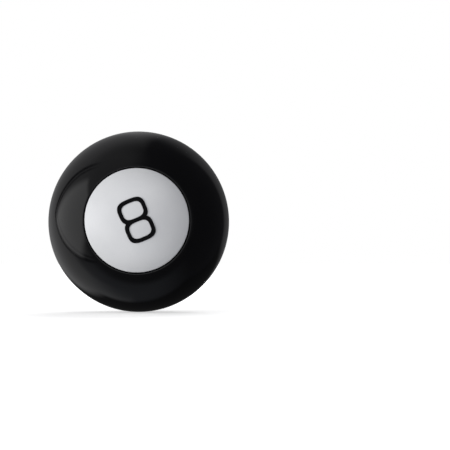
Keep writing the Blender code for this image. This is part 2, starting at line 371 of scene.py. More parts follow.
class NodeSheet(Wiring):
    """A material's node tree.

    Args:
        name: the material's name.
    """

    def __init__(self, name: str) -> None:
        """Makes the material, with its Principled shader and output."""
        self.material = bpy.data.materials.new(name)
        self.material.use_nodes = True
        super().__init__(self.material.node_tree)
        self.shader = self.nodes["Principled BSDF"]
        self.output = self.nodes["Material Output"]
        self.place = self.make("TexCoord", "Object", {})

    def set(self, **values: object) -> None:
        """Sets or links the shader's own sockets. A name's underscores stand for spaces."""
        for name, value in values.items():
            self.feed(self.shader.inputs[name.replace("_", " ")], value)

    def stretched(self, scale: Colour, turn: Colour = (0.0, 0.0, 0.0)) -> Socket:
        """The piece's own coordinates, scaled and turned."""
        return self.make("Mapping", "Vector", {"Vector": self.place, "Scale": scale, "Rotation": turn})

    def noise(
        self, scale: float, detail: float = 3.0, rough: float = 0.5, place: Optional[Socket] = None
    ) -> Socket:
        """A cloudy pattern between 0 and 1."""
        inputs = {"Vector": place or self.place, "Scale": scale, "Detail": detail, "Roughness": rough}
        return self.make("TexNoise", "Fac", inputs)

    def cells(self, scale: float) -> Socket:
        """Distance to the nearest of many scattered points."""
        return self.make("TexVoronoi", "Distance", {"Vector": self.place, "Scale": scale})

    def mixed(self, factor: Socket, *ends: object) -> Socket:
        """A colour between two, by the factor. Each of the two is a colour or a socket."""
        node = self.nodes.new("ShaderNodeMix")
        node.data_type = "RGBA"
        sockets = {socket.identifier: socket for socket in node.inputs}
        for name, value in zip(("Factor_Float", "A_Color", "B_Color"), (factor, *ends)):
            self.feed(sockets[name], value)
        return next(socket for socket in node.outputs if socket.identifier == "Result_Color")

    def satin(self, pattern: Socket, gloss: Pair) -> Socket:
        """A roughness that goes between two values with a cloudy pattern."""
        return self.ramp(pattern, 0.3, 0.7, gloss)

    def relief(self, source: Socket, depth: float, strength: float = 1.0) -> None:
        """Feeds the normal from a height pattern, on top of any relief fed before."""
        normal = self.shader.inputs["Normal"]
        inputs = {"Strength": strength, "Distance": depth, "Height": source}
        if normal.is_linked:
            inputs["Normal"] = normal.links[0].from_socket
        self.feed(normal, self.make("Bump", "Normal", inputs))

    def scratches(self, scale: float, width: float, turn: Colour) -> Socket:
        """Fine hairlines: 1 on a line and 0 off it, from a noise that is stretched one way."""
        lines = self.noise(scale, 2.0, 0.6, self.stretched((1.0, 0.05, 0.6), turn))
        off_middle = self.maths("ABSOLUTE", self.maths("SUBTRACT", lines, 0.5))
        return self.ramp(off_middle, 0.0, width, (1.0, 0.0))

    def scratched(self, haze: Socket, lines: Socket, more: float) -> None:
        """Feeds the roughness with a haze, and more of it on the hairlines."""
        self.set(Roughness=self.maths("ADD", haze, self.maths("MULTIPLY", lines, more)))

    def lets_lamps_through(self, tint: Colour) -> None:
        """Lets light from the lamps pass, tinted, so that what is behind the piece is lit."""
        clear = self.make("BsdfTransparent", "BSDF", {"Color": tint})
        self.choose("Is Shadow Ray", clear, self.shader.outputs["BSDF"], self.output.inputs["Surface"])


@dataclass(frozen=True)
class PolishedBlack:
    """Black plastic from a polished mould, with faint hairlines from handling.

    Args:
        dark: its colour in its faint clouds.
        light: its colour between them.
        gloss: its least and greatest roughness off the hairlines.
        worn: roughness that a hairline adds.
    """

    dark: Colour = (0.0028, 0.0028, 0.0032)
    light: Colour = (0.0050, 0.0050, 0.0057)
    gloss: Pair = (0.055, 0.105)
    worn: float = 0.09

    def build(self) -> bpy.types.Material:
        """The material."""
        sheet = NodeSheet("polished_black")
        sheet.set(IOR=1.5, Specular_IOR_Level=0.5)
        sheet.set(Base_Color=sheet.mixed(sheet.noise(140.0, 4.0), self.dark, self.light))
        lines = sheet.maths(
            "MAXIMUM",
            sheet.scratches(900.0, 0.0035, (0.4, 0.2, 1.1)),
            sheet.scratches(1100.0, 0.0030, (1.2, -0.5, 0.3)),
        )
        sheet.scratched(sheet.satin(sheet.noise(420.0, 5.0, 0.6), self.gloss), lines, self.worn)
        sheet.relief(sheet.noise(95.0, 2.0), 40 * MICRON, 0.5)
        sheet.relief(lines, -2 * MICRON, 0.35)
        return sheet.material


@dataclass(frozen=True)
class Finish:
    """A finish whose colour, roughness and relief each follow a cloudy pattern.

    A pattern is its fineness, how many finer patterns are laid over it, and how strong those are.

    Args:
        name: the material's name.
        colours: its colours at the two ends of its clouds.
        clouds: the pattern of its colour.
        gloss: its least and greatest roughness.
        haze: the pattern of its roughness.
        bumps: the pattern of its relief.
        depth: depth of the relief, in metres.
        strength: how much of the relief shows.
        specular: how strongly it mirrors. 0.5 is usual.
        ior: its index of refraction.
        metal: how metallic it is.
        sparkle: how much a flake's middle and its edge change the mix of the colours, where it has flakes.
        stretch: how its clouds are drawn out, where they follow the flow into a mould.
        mark: the colour of a raised mark, where it has marks.
    """

    name: str
    colours: Tuple[Colour, Colour]
    clouds: Tuple[float, ...]
    gloss: Pair
    haze: Tuple[float, ...]
    bumps: Tuple[float, ...]
    depth: float
    strength: float = 0.4
    specular: float = 0.5
    ior: float = 1.5
    metal: float = 0.0
    sparkle: Optional[Pair] = None
    stretch: Optional[Colour] = None
    mark: Optional[Colour] = None

    def build(self) -> bpy.types.Material:
        """The material."""
        sheet = NodeSheet(self.name)
        sheet.set(IOR=self.ior, Specular_IOR_Level=self.specular, Metallic=self.metal)
        place = sheet.stretched(self.stretch) if self.stretch else None
        share = sheet.noise(*self.clouds, place=place)
        if self.sparkle:
            share = sheet.maths("ADD", share, sheet.ramp(sheet.cells(5200.0), 0.05, 0.6, self.sparkle))
        colour = sheet.mixed(share, *self.colours)
        if self.mark:
            raised = sheet.make("Attribute", "Fac", {}, attribute_name=RAISED)
            colour = sheet.mixed(raised, colour, self.mark)
        sheet.set(Base_Color=colour, Roughness=sheet.satin(sheet.noise(*self.haze), self.gloss))
        sheet.relief(sheet.noise(*self.bumps), self.depth, self.strength)
        return sheet.material


def moulded(name: str, dark: Colour, light: Colour, smoothest: float = 0.3) -> Finish:
    """Plain moulded plastic with flow marks and a fine eggshell grain."""
    gloss, grain = (smoothest, smoothest + 0.12), (2200.0, 3.0)
    flow = {"stretch": (1.0, 0.25, 1.0), "specular": 0.45}
    return Finish(name, (dark, light), (180.0, 4.0, 0.6), gloss, grain, grain, 10 * MICRON, **flow)


SILVER_WHITE = Finish(
    name="silver_white",
    colours=((0.665, 0.672, 0.690), (0.765, 0.770, 0.778)),
    clouds=(160.0, 4.0, 0.55),
    gloss=(0.30, 0.40),
    haze=(900.0, 4.0, 0.6),
    bumps=(3800.0, 2.0),
    depth=4 * MICRON,
    metal=0.12,
    sparkle=(0.16, -0.06),
)
PRINTED_INK = Finish(
    name="printed_ink",
    colours=((0.0015, 0.0015, 0.0020), (0.0040, 0.0040, 0.0048)),
    clouds=(1500.0, 4.0),
    gloss=(0.42, 0.56),
    haze=(2600.0, 3.0),
    bumps=(4200.0, 2.0),
    depth=5 * MICRON,
    specular=0.08,
    ior=1.48,
)
DIE_WHITE = Finish(
    name="die_white",
    colours=((0.40, 0.47, 0.70), (0.50, 0.56, 0.76)),
    clouds=(420.0, 4.0),
    gloss=(0.36, 0.5),
    haze=(900.0, 3.0),
    bumps=(2400.0, 3.0),
    depth=8 * MICRON,
    specular=0.4,
    mark=(0.92, 0.92, 0.90),
)
SOFT_RUBBER = Finish(
    name="soft_rubber",
    colours=((0.016, 0.016, 0.017), (0.045, 0.045, 0.048)),
    clouds=(600.0, 5.0, 0.65),
    gloss=(0.62, 0.78),
    haze=(1500.0, 3.0),
    bumps=(3000.0, 3.0),
    depth=20 * MICRON,
    strength=0.5,
    specular=0.3,
)
TANK_BLUE = moulded("tank_blue", (0.018, 0.026, 0.075), (0.030, 0.042, 0.11))
COLLAR_GREY = moulded("collar_grey", (0.10, 0.11, 0.14), (0.16, 0.17, 0.20), 0.38)


@dataclass(frozen=True)
class ClearPane:
    """Clear acrylic with a trace of haze.

    Args:
        tint: its colour where it is least clear.
        passed: the colour of the lamps' light behind it.
        haze: its least and greatest roughness off the hairlines.
        worn: roughness that a hairline adds.
    """

    tint: Colour = (0.96, 0.98, 0.99)
    passed: Colour = (0.95, 0.97, 0.98)
    haze: Pair = (0.01, 0.04)
    worn: float = 0.08

    def build(self) -> bpy.types.Material:
        """The material."""
        sheet = NodeSheet("clear_pane")
        sheet.set(IOR=1.49, Transmission_Weight=1.0)
        sheet.set(Base_Color=sheet.mixed(sheet.noise(220.0, 3.0), self.tint, WHITE))
        lines = sheet.scratches(1000.0, 0.003, (0.9, 0.1, 0.5))
        sheet.scratched(sheet.ramp(sheet.noise(380.0, 4.0), 0.35, 0.75, self.haze), lines, self.worn)
        sheet.lets_lamps_through(self.passed)
        return sheet.material


@dataclass(frozen=True)
class BlueLiquid:
    """Dark blue dyed liquid, which darkens with its depth.

    Args:
        absorbed: the colour that is left after a long way through it.
        density: how fast it takes up the rest of the light, per metre.
        name: the material's name.
        swirls: its surface's colour in its faint swirls and between them.
        passed: the colour of the lamps' light behind it.
    """

    absorbed: Colour = (0.10, 0.22, 0.82)
    density: float = 330.0
    name: str = "blue_liquid"
    swirls: Tuple[Colour, Colour] = ((0.93, 0.95, 1.0), (0.98, 0.99, 1.0))
    passed: Colour = (0.97, 0.98, 1.0)

    def build(self) -> bpy.types.Material:
        """The material."""
        sheet = NodeSheet(self.name)
        sheet.set(IOR=1.36, Transmission_Weight=1.0, Roughness=0.0)
        sheet.set(Base_Color=sheet.mixed(sheet.noise(90.0, 2.0), *self.swirls))
        depth = {"Color": self.absorbed, "Density": self.density}
        sheet.feed(sheet.output.inputs["Volume"], sheet.make("VolumeAbsorption", "Volume", depth))
        sheet.lets_lamps_through(self.passed)
        return sheet.material


@dataclass(frozen=True)
class PaleFloor:
    """A pale floor that runs out into the white room behind it. It has a painted glow of its own, dimmer by
    the ball and brighter away from it.

    Args:
        pale: its colour in its faint clouds.
        paler: its colour between them.
        glow: how much light it gives of its own by the ball, where shadows have to show.
        far_glow: the same at far_away and beyond.
        near: distance from the ball at which its glow starts to grow, in metres.
        far_away: distance from the ball, in metres.
    """

    pale: Colour = (0.80, 0.80, 0.80)
    paler: Colour = (0.84, 0.84, 0.84)
    glow: float = 0.55
    far_glow: float = 1.05
    near: float = 0.02
    far_away: float = 0.16

    def build(self) -> bpy.types.Material:
        """The material."""
        sheet = NodeSheet("pale_floor")
        sheet.set(Roughness=0.9, Specular_IOR_Level=0.0, Emission_Color=WHITE)
        sheet.set(Base_Color=sheet.mixed(sheet.noise(30.0, 3.0), self.pale, self.paler))
        # painted light: the floor's own glow, low by the ball and growing with distance from it
        length = sheet.make("VectorMath", "Value", {0: sheet.place}, operation="LENGTH")
        away = sheet.ramp(length, self.near, self.far_away, (self.glow, self.far_glow))
        sheet.set(Emission_Strength=away)
        return sheet.material


# --- Pieces -----------------------------------------------------------------------------------------------


@dataclass
class Piece:
    """One finished piece, with what it rides on and stands for.

    Args:
        name: its object's name.
        surface: its shape.
        body: the body it moves with.
        node: the frame's node that it stands for.
        slot: the name of a material slot. Not used.
        material: its finish.
    """

    name: str
    surface: Surface
    body: str
    node: str
    slot: str
    material: bpy.types.Material

    def hand_over(self) -> None:
        obj = self.surface.as_object(self.name)
        obj.data.materials.append(self.material)
        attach(obj, self.body)
        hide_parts(self.node)
        count = sum(len(face.vertices) - 2 for face in obj.data.polygons)
        LOG.info("%s: %d triangles, rides on %s, stands for %s", self.name, count, self.body, self.node)


def reach(node: str) -> float:
    """A turned node's radius, as its box gives it."""
    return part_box(node)[1][0]


def top(node: str) -> float:
    """A node's greatest height along the axis, towards the number."""
    return -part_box(node)[0][1]


def bottom(node: str) -> float:
    """A node's least height along the axis, towards the window."""
    return -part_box(node)[1][1]


@dataclass
class Shell:
    """The two black halves, which meet at a fine seam round the middle.

    Args:
        wall: thickness of the moulding.
        gap: clearance that the frame keeps between touching pieces.
        seam: width of the seam that shows.
        edge: size of the soft edge on a moulded corner.
        tongue: thickness of the locating tongue inside the seam.
        rib: thickness of the ring ribs that hold the tank.
        rib_radius: outer radius of the rib over the tank's lid.
        collar_overlap: how far the collar reaches up the tank's neck.
        opening: radius of the window opening.
        lip: thickness of the rim in front of the window.
        segments: steps in a full turn.
        radius: radius of the ball.
    """

    wall: float = 1.8 * MM
    gap: float = 0.3 * MM
    seam: float = 0.06 * MM
    edge: float = 0.16 * MM
    tongue: float = 0.75 * MM
    rib: float = 1.0 * MM
    rib_radius: float = 9.4 * MM
    collar_overlap: float = 1.0 * MM
    opening: float = 6.5 * MM
    lip: float = 0.6 * MM
    segments: int = 360
    radius: float = field(default_factory=lambda: reach("front_shell"))

    @property
    def inside(self) -> float:
        """Radius of the hollow."""
        return self.radius - self.wall

    def front(self) -> Outline:
        """The half with the disc's seat, the tongue and the ring rib over the tank's lid."""
        seat_radius = reach("number_disc") + self.gap
        floor = height_on_disc_back() - self.gap
        rib_inner = self.rib_radius - self.rib
        rib_tip = top("tank_cap") + self.gap
        tongue_radius = self.inside + self.tongue
        tongue_tip = bottom("front_shell")
        return Outline.of(
            arc(floor, floor, height_on(floor, seat_radius), 2.0),
            arc(self.radius, height_on(self.radius, seat_radius), self.seam / 2),
            (tongue_radius, self.seam / 2),
            (tongue_radius, tongue_tip),
            (self.inside, tongue_tip),
            arc(self.inside, 0.0, height_on(self.inside, self.rib_radius), 3.0),
            (self.rib_radius, rib_tip),
            (rib_inner, rib_tip),
            arc(self.inside, height_on(self.inside, rib_inner), self.inside, 3.0),
            closed=False,
        ).softened(self.edge)

    def rear(self) -> Outline:
        """The half with the window's flat rim, the collar round the tank's neck, and the rebate."""
        flat = bottom("rear_shell")
        bore = reach("window") + self.gap
        collar = bore + self.rib
        collar_tip = bottom("tank_body") + self.collar_overlap
        rebate = bottom("front_shell") - self.gap
        rebate_radius = self.inside + self.tongue + self.gap
        return Outline.of(
            arc(self.radius, -self.seam / 2, flat),
            (self.opening, flat),
            (self.opening, flat + self.lip),
            (bore, flat + self.lip),
            (bore, collar_tip),
            (collar, collar_tip),
            arc(self.inside, -height_on(self.inside, collar), rebate, 3.0),
            (rebate_radius, rebate),
            (rebate_radius, -self.seam / 2),
            closed=True,
        ).softened(self.edge)

    def dress(self) -> List[Piece]:
        """Both halves in polished black."""
        finish = PolishedBlack().build()
        halves = (
            ("front_moulding", self.front(), "front_shell"),
            ("rear_moulding", self.rear(), "rear_shell"),
        )
        return [
            Piece(name, half.turned(self.segments), "ball", node, "shell_black", finish)
            for name, half, node in halves
        ]


def height_on_disc_back() -> float:
    """Height of the disc's back at the axis, a disc's thickness under its crown."""
    return top("number_disc") - NumberDisc.thickness


@dataclass
class NumberDisc:
    """The domed disc and the figure 8 printed on it.

    Args:
        thickness: thickness of the disc.
        edge: size of the soft edge round the disc.
        stroke: width of the figure's line.
        lean: how far the figure's top leans to the viewer's left, in degrees.
        squareness: power of the superellipse that each loop follows: 2 is round, and more is squarer.
        height: height of the figure.
        width: width of the figure.
        round_steps: points in a quarter of a loop.
        segments: steps in a full turn of the disc.
    """

    thickness: float = 0.55 * MM
    edge: float = 0.14 * MM
    stroke: float = 0.82 * MM
    lean: float = 23.0
    squareness: float = 3.2
    height: float = 9.0 * MM
    width: float = 5.9 * MM
    round_steps: int = 40
    segments: int = 320

    def disc(self) -> Surface:
        """The disc: two spheres' caps joined by a short wall, with soft corners."""
        crown, radius = top("number_disc"), reach("number_disc")
        back = crown - self.thickness
        outline = Outline.of(
            arc(crown, crown, height_on(crown, radius), 0.7),
            arc(back, height_on(back, radius), back, 1.4),
            closed=False,
        )
        return outline.softened(self.edge, 6).turned(self.segments)

    def loop(self, turn: Array, half_width: float, half_height: float) -> Array:
        """Points of a superellipse: cos and sin of the turn to the power 2 / squareness, sign kept."""
        round_path = np.stack([np.cos(turn), np.sin(turn)], axis=1)
        squarer = np.sign(round_path) * np.abs(round_path) ** (2 / self.squareness)
        return squarer * (half_width, half_height)

    def figure(self) -> Surface:
        """The 8: its upper loop as a ring of sections, and the same turned half round for the lower loop.

        A section runs from the loop's outer edge to its eye, over the top with soft edges, and back
        underneath. Where the outer edge would cross the waist it is held at the waist, and the wall there
        is left out, so that the two halves join into one body along the bar.

        Returns:
            The figure wrapped on the disc.
        """
        half_height = (self.height + self.stroke) / 4
        centre = (self.height - self.stroke) / 4
        half_width = self.width / 2
        waist = -math.asin((centre / half_height) ** (self.squareness / 2))
        eased = np.sin(np.linspace(0, math.pi / 2, self.round_steps))
        under = -math.pi / 2 + (waist + math.pi / 2) * np.linspace(0, 1, self.round_steps)
        over = waist + (math.pi / 2 - waist) * (0.5 * eased + 0.5 * np.linspace(0, 1, self.round_steps))
        right = np.unique(np.concatenate([under, over]))
        turn = np.concatenate([right, (math.pi - right[::-1])[1:-1]])
        outer = self.loop(turn, half_width, half_height) + (0.0, centre)
        eye = self.loop(turn, half_width - self.stroke, half_height - self.stroke) + (0.0, centre)
        held = outer[:, 1] <= 1e-9
        outer[held, 1] = 0.0

        across = np.array([0.0, 0.0, 0.02, 0.08, 0.3, 0.5, 0.7, 0.92, 0.98, 1.0, 1.0, 0.5])
        lift = np.array([0.0, 0.65, 0.9, 1.0, 1.0, 1.0, 1.0, 1.0, 0.9, 0.65, 0.0, 0.0])
        lifts = np.repeat(lift[None, :], len(turn), axis=0)
        lifts[held, 1:4] = 1.0
        widths = np.repeat(across[None, :], len(turn), axis=0)
        flat = outer[:, None, :] * (1 - widths[..., None]) + eye[:, None, :] * widths[..., None]
        faces = grid_faces(len(turn), len(across), True, True)
        row, step = faces[:, 0] // len(across), faces[:, 0] % len(across)
        inner_wall = (step == 0) & held[row] & held[(row + 1) % len(turn)]
        faces = faces[~inner_wall]

        count = flat.shape[0] * flat.shape[1]
        both = np.concatenate([flat.reshape(-1, 2), -flat.reshape(-1, 2)])
        lifted = np.concatenate([lifts.ravel(), lifts.ravel()])
        lean = math.radians(self.lean)
        x = both[:, 0] * math.cos(lean) - both[:, 1] * math.sin(lean)
        z = both[:, 0] * math.sin(lean) + both[:, 1] * math.cos(lean)
        low, high = top("number_disc"), top("numeral")
        sphere = low + (high - low) * lifted
        y = -np.sqrt(sphere**2 - x**2 - z**2)
        return Surface(np.stack([x, y, z], axis=1), [np.concatenate([faces, faces + count])]).welded()

    def dress(self) -> List[Piece]:
        """The disc in silver white, and the figure in black ink."""
        silver, ink = SILVER_WHITE.build(), PRINTED_INK.build()
        return [
            Piece("silver_disc", self.disc(), "ball", "number_disc", "disc_silver", silver),
            Piece("printed_figure", self.figure(), "ball", "numeral", "numeral_ink", ink),
        ]


@dataclass
class WindowEnd:
    """The clear pane and the soft ring behind it.

    Args:
        bevel: size of the pane's ground edge, and of the ring's soft one.
        ring_width: width of the ring from its inner to its outer side.
        segments: steps in a full turn.
    """

    bevel: float = 0.22 * MM
    ring_width: float = 0.68 * MM
    segments: int = 256

    def pane(self) -> Surface:
        """The pane: a flat disc with ground edges."""
        radius, back, front = reach("window"), top("window"), bottom("window")
        outline = Outline.of((0.0, back), (radius, back), (radius, front), (0.0, front), closed=False)
        return outline.softened(self.bevel, 6).turned(self.segments)

    def ring(self) -> Surface:
        """The soft ring, pressed out a little at its middle."""
        outer, back, front = reach("window_seal"), top("window_seal"), bottom("window_seal")
        inner = outer - self.ring_width
        outline = Outline.of((outer, back), (outer, front), (inner, front), (inner, back), closed=True)
        return outline.softened(self.bevel, 7).turned(self.segments)

    def dress(self) -> List[Piece]:
        """The pane in clear acrylic, and the ring in rubber."""
        clear, rubber = ClearPane().build(), SOFT_RUBBER.build()
        return [
            Piece("clear_window", self.pane(), "ball", "window", "window_clear", clear),
            Piece("soft_ring", self.ring(), "ball", "window_seal", "seal_rubber", rubber),
        ]


@dataclass
class Tank:
    """The stepped tank, its lid and plug, and the collar that traps bubbles.

    Args:
        wall: thickness of the tank.
        gap: clearance that the frame keeps between touching pieces.
        edge: size of a soft edge.
        neck_length: length of the narrow part at the window end.
        neck_radius: outer radius of the narrow part.
        fill_hole: radius of the filling hole in the lid.
        dome: how far the plug's crown drops towards its edge.
        plug_edge: size of a soft edge on the plug.
        flutes: number of grips round the plug's head.
        flute_depth: half the depth of the hollows between the grips.
        collar_wall: thickness of the collar.
        collar_edge: size of a soft edge on the collar.
        mouth_radius: radius of the collar's mouth.
        segments: steps in a full turn.
    """

    wall: float = 0.9 * MM
    gap: float = 0.3 * MM
    edge: float = 0.25 * MM
    neck_length: float = 1.3 * MM
    neck_radius: float = 7.4 * MM
    fill_hole: float = 1.5 * MM
    dome: float = 0.05 * MM
    plug_edge: float = 0.12 * MM
    flutes: int = 12
    flute_depth: float = 0.06 * MM
    collar_wall: float = 0.6 * MM
    collar_edge: float = 0.2 * MM
    mouth_radius: float = 6.3 * MM
    segments: int = 224

    def body(self) -> Surface:
        """The tank: a wide cup that steps in to a neck, open at both ends."""
        radius, rim, front = reach("tank_body"), top("tank_body"), bottom("tank_body")
        shoulder = front + self.neck_length
        inside, neck_inside = radius - self.wall, self.neck_radius - self.wall
        slope = self.wall * 2 / 3
        outline = Outline.of(
            (radius, rim),
            (radius, shoulder + slope),
            (radius - slope, shoulder),
            (self.neck_radius, shoulder),
            (self.neck_radius, front),
            (neck_inside, front),
            (neck_inside, shoulder + self.wall),
            (inside, shoulder + self.wall),
            (inside, rim),
            closed=True,
        )
        return outline.softened(self.edge).turned(self.segments)

    def lid(self) -> Surface:
        """The lid: a flange on the rim, a spigot inside it, and the filling hole."""
        radius, crown, inside = reach("tank_cap"), top("tank_cap"), bottom("tank_cap")
        under = top("tank_body") + self.gap
        spigot = radius - self.wall - self.gap
        flange = ((radius, crown), (radius, under), (spigot, under))
        hole = ((spigot, inside), (self.fill_hole, inside), (self.fill_hole, crown))
        return Outline.of(*flange, *hole, closed=True).softened(self.edge).turned(self.segments)

    def plug(self) -> Surface:
        """The plug: a tapered stem under a low domed head with fluted sides.

        A flute takes the radius in by half its depth times one plus the cosine of the turn times the
        number of flutes.
        """
        radius, crown, tip = reach("fill_plug"), top("fill_plug"), bottom("fill_plug")
        under = top("tank_cap") + self.gap
        stem = self.fill_hole - self.gap
        outline = Outline.of(
            (0.0, crown),
            (radius - 2 * self.gap, crown - self.dome),
            (radius, crown - self.gap),
            (radius, under),
            (stem, under),
            (stem, tip + self.gap),
            (stem - self.gap, tip),
            (0.0, tip),
            closed=False,
        )

        def fluted(turn: Array, radii: Array, heights: Array) -> Array:
            """The head's sides drawn in between its grips."""
            on_side = np.clip((radii - (radius - self.gap)) / self.gap, 0.0, 1.0)
            return radii - on_side * self.flute_depth * (1 + np.cos(self.flutes * turn))

        return outline.softened(self.plug_edge).turned(self.segments, fluted)

    def collar(self) -> Surface:
        """The collar: a foot on the tank's shoulder, and a wall that narrows away from the window."""
        foot_radius, mouth, foot = reach("bubble_trap"), top("bubble_trap"), bottom("bubble_trap")
        outline = Outline.of(
            (self.mouth_radius + self.collar_wall, mouth),
            (self.neck_radius, foot + self.collar_wall),
            (foot_radius, foot + self.collar_wall),
            (foot_radius, foot),
            (self.neck_radius - self.wall, foot),
            (self.mouth_radius, mouth),
            closed=True,
        )
        return outline.softened(self.collar_edge).turned(self.segments)

    def dress(self) -> List[Piece]:
        """The tank and lid in dark blue, the collar in grey, and the plug in rubber."""
        blue, grey, rubber = TANK_BLUE.build(), COLLAR_GREY.build(), SOFT_RUBBER.build()
        return [
            Piece("tank_moulding", self.body(), "ball", "tank_body", "tank_plastic", blue),
            Piece("tank_lid", self.lid(), "ball", "tank_cap", "tank_plastic", blue),
            Piece("filling_plug", self.plug(), "ball", "fill_plug", "seal_rubber", rubber),
            Piece("bubble_collar", self.collar(), "ball", "bubble_trap", "trap_plastic", grey),
        ]


class Mark(Enum):
    """The plain raised marks on the die's faces."""

    RING = 0
    CROSS = 1
    TICK = 2
    BARS = 3


STROKES = {
    Mark.CROSS: ((-0.8, -0.8, 0.8, 0.8), (-0.8, 0.8, 0.8, -0.8)),
    Mark.TICK: ((-1.0, 0.0, -0.3, -0.8), (-0.3, -0.8, 1.0, 0.9)),
    Mark.BARS: ((-1.0, -0.35, 1.0, -0.35), (-0.6, 0.45, 0.6, 0.45)),
}  # the straight strokes of each mark: start across and up, then end across and up, in mm


@dataclass(frozen=True)
class DieFaces:
    """The twenty faces of a die.

    Args:
        normals: a unit vector out of each face.
        towards_tip: the direction from the die's centre to one corner of each face.
        marks: the number of each face's mark.
        distance: how far each face is from the centre.
    """

    normals: Array
    towards_tip: Array
    marks: Array
    distance: float

    @staticmethod
    def between(tips: Array, radius: float) -> "DieFaces":
        """The faces of the solid with these corners. The two on the ball's axis get a ring.

        Three tips make a face where each pair of them is a neighbour, which in a twenty-sided solid means
        that the product of their directions is one over the root of five.

        Args:
            tips: the solid's corners as directions from its centre.
            radius: how far each corner is from the centre.

        Returns:
            The faces.
        """
        tips = tips / np.linalg.norm(tips, axis=1)[:, None]
        near = np.abs(tips @ tips.T - 1 / math.sqrt(5)) < 0.05
        a, b, c = np.meshgrid(*[np.arange(len(tips))] * 3, indexing="ij")
        whole = (a < b) & (b < c) & near[a, b] & near[b, c] & near[a, c]
        sums = tips[a[whole]] + tips[b[whole]] + tips[c[whole]]
        lengths = np.linalg.norm(sums, axis=1)
        normals = sums / lengths[:, None]
        marks = np.arange(len(normals)) % len(Mark)
        marks[np.abs(normals[:, 1]) > 0.99] = Mark.RING.value
        return DieFaces(normals, tips[a[whole]], marks, float(radius * lengths.mean() / 3))


